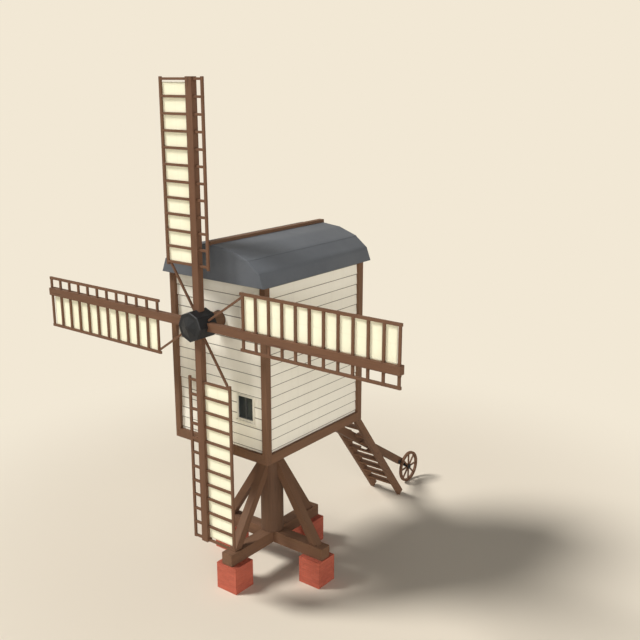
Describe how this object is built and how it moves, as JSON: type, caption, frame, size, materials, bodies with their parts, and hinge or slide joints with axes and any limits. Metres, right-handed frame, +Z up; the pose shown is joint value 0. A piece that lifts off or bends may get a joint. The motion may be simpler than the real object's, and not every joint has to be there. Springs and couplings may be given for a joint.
{
  "type": "post mill",
  "caption": "Traditional wooden windmill whose boarded body turns on one great post over an open trestle on brick piers, with lattice sails, a rear ladder, a tail pole and a ground wheel.",
  "frame": {"origin": "middle of the bounding box, on the ground under the piers", "axes": "+Z up, -Y towards the sails, +Y towards the ladder and the ground wheel, +X to the right seen from the sails' side with the ladder behind"},
  "size_m": [14.428, 13.02, 16.704],
  "materials": {
    "brick": "matt fired clay",
    "trestle_timber": "matt, weathered",
    "frame_timber": "matt, weathered",
    "sail_timber": "matt, weathered",
    "wheel_timber": "matt, weathered",
    "boards": "matt limewashed boards",
    "window_paint": "satin paint",
    "sash_paint": "satin dark paint",
    "window_glass": "clear",
    "roofing": "matt dark covering",
    "iron": "satin black",
    "canvas": "matt cloth"
  },
  "bodies": {
    "trestle": {"pier_right": "brick", "pier_rear": "brick", "pier_left": "brick", "pier_front": "brick", "quarterbar_right": "trestle_timber", "quarterbar_rear": "trestle_timber", "quarterbar_left": "trestle_timber", "quarterbar_front": "trestle_timber", "crosstree_across": "trestle_timber", "crosstree_fore_and_aft": "trestle_timber", "main_post": "trestle_timber"},
    "buck": {"corner_posts": "frame_timber", "sills": "frame_timber", "sheers": "frame_timber", "pole_beam": "frame_timber", "floor": "frame_timber", "crown_tree": "frame_timber", "right_wall": "boards", "left_wall": "boards", "front_wall": "boards", "rear_wall": "boards", "window_casing": "window_paint", "window_sashes": "sash_paint", "window_glass": "window_glass", "door_casing": "frame_timber", "rear_door": "boards", "roof": "roofing", "roof_end_front": "roofing", "roof_end_rear": "roofing", "ridge_beam": "frame_timber", "weather_beam": "frame_timber", "tail_beam": "frame_timber", "rear_landing": "frame_timber", "tail_pole": "frame_timber", "wheel_bracket": "iron"},
    "ladder": {"ladder_stringers": "frame_timber", "ladder_treads": "frame_timber"},
    "rotor": {"windshaft": "frame_timber", "hub": "iron", "stock_upright": "sail_timber", "stock_level": "sail_timber", "sail_frame_top": "sail_timber", "sail_cloth_top": "canvas", "sail_frame_right": "sail_timber", "sail_cloth_right": "canvas", "sail_frame_bottom": "sail_timber", "sail_cloth_bottom": "canvas", "sail_frame_left": "sail_timber", "sail_cloth_left": "canvas"},
    "wheel": {"wheel_hub": "iron", "tail_wheel": "wheel_timber"}
  },
  "joints": [
    {"name": "buck_yaw", "type": "hinge", "parent": "trestle", "child": "buck", "pos_m": [0, -2.755, 7.6], "axis": [0, 0, 1], "continuous": true},
    {"name": "sail_turn", "type": "hinge", "parent": "buck", "child": "rotor", "pos_m": [0, -6.035, 9.49], "axis": [0, 1, 0], "continuous": true},
    {"name": "ladder_lift", "type": "hinge", "parent": "buck", "child": "ladder", "pos_m": [0, 0.566, 5.375], "axis": [1, 0, 0], "range_deg": [0, 1.2]},
    {"name": "wheel_roll", "type": "hinge", "parent": "buck", "child": "wheel", "pos_m": [0.245, 5.855, 0.655], "axis": [1, 0, 0], "continuous": true}
  ]
}
